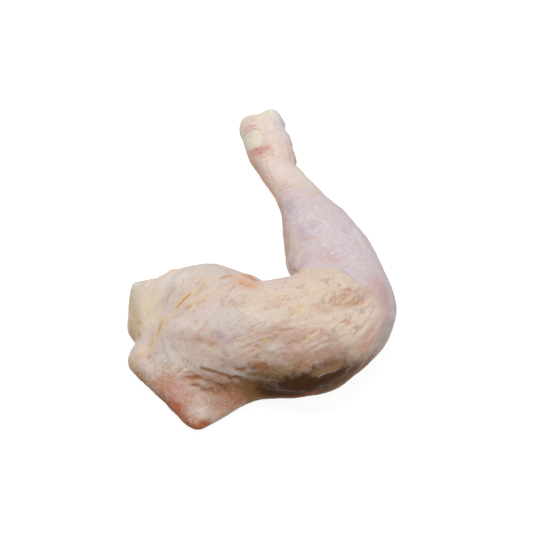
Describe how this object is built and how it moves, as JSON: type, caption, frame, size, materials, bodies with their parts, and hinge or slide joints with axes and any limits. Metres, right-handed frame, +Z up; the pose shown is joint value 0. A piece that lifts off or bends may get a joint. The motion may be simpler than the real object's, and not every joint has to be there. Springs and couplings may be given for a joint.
{
  "type": "raw chicken leg",
  "caption": "Raw chicken leg with the skin on: thigh and drumstick in one piece, bent at the knee and lying skin side up.",
  "frame": {"origin": "under the middle of the leg, on the surface it lies on", "axes": "+Z up out of the skin side, +Y from the thigh towards the knuckle of the drumstick, +X from the hip towards the knee"},
  "size_m": [0.125, 0.1838, 0.046],
  "materials": {
    "raw_skin": "moist raw poultry skin, satin, with pale yellow fat and pink meat at the cut edges"
  },
  "bodies": {
    "root": {"chicken_leg": "raw_skin"}
  },
  "joints": []
}
